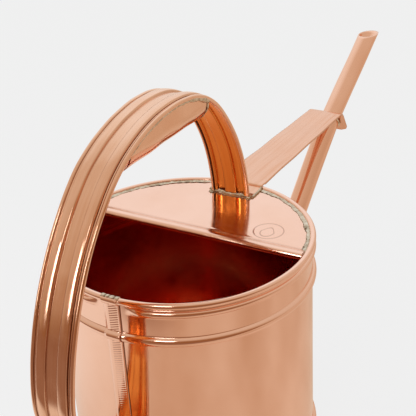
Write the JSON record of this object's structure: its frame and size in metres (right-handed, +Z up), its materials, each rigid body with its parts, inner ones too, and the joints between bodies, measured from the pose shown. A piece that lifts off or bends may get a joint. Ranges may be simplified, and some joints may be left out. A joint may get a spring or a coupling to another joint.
{
  "type": "watering can",
  "caption": "Copper watering can with a half-covered open top, a ribbed strap handle over the top and a long braced spout.",
  "frame": {"origin": "centre of the flat underside", "axes": "+Z up, +X along the spout, away from the rear of the handle; +Y to the can's left seen from behind"},
  "size_m": [0.5203, 0.1804, 0.2805],
  "materials": {
    "copper_body": "polished copper sheet",
    "copper_cover": "polished copper sheet",
    "copper_strap": "polished copper strap, lightly scratched",
    "copper_brace": "polished copper sheet",
    "copper_tube": "polished copper tube",
    "iron_wire": "drawn iron wire",
    "solder": "wiped tin solder, dull"
  },
  "bodies": {
    "root": {"body_shell": "copper_body", "rear_lock_seam": "copper_body", "base_plate": "copper_body", "top_cover": "copper_cover", "handle_strap": "copper_strap", "grip_liner": "copper_strap", "brace_strip": "copper_brace", "spout_lower_tube": "copper_tube", "spout_upper_tube": "copper_tube", "rim_wire": "iron_wire", "cover_edge_wire": "iron_wire", "handle_wire_left": "iron_wire", "handle_wire_right": "iron_wire", "solder_seam_top": "solder", "solder_base_joint": "solder", "solder_cover_joint": "solder", "solder_handle_front": "solder", "solder_handle_rear": "solder", "solder_grip_liner": "solder", "solder_brace_foot": "solder", "solder_brace_spout": "solder", "solder_spout_root": "solder"}
  },
  "joints": []
}
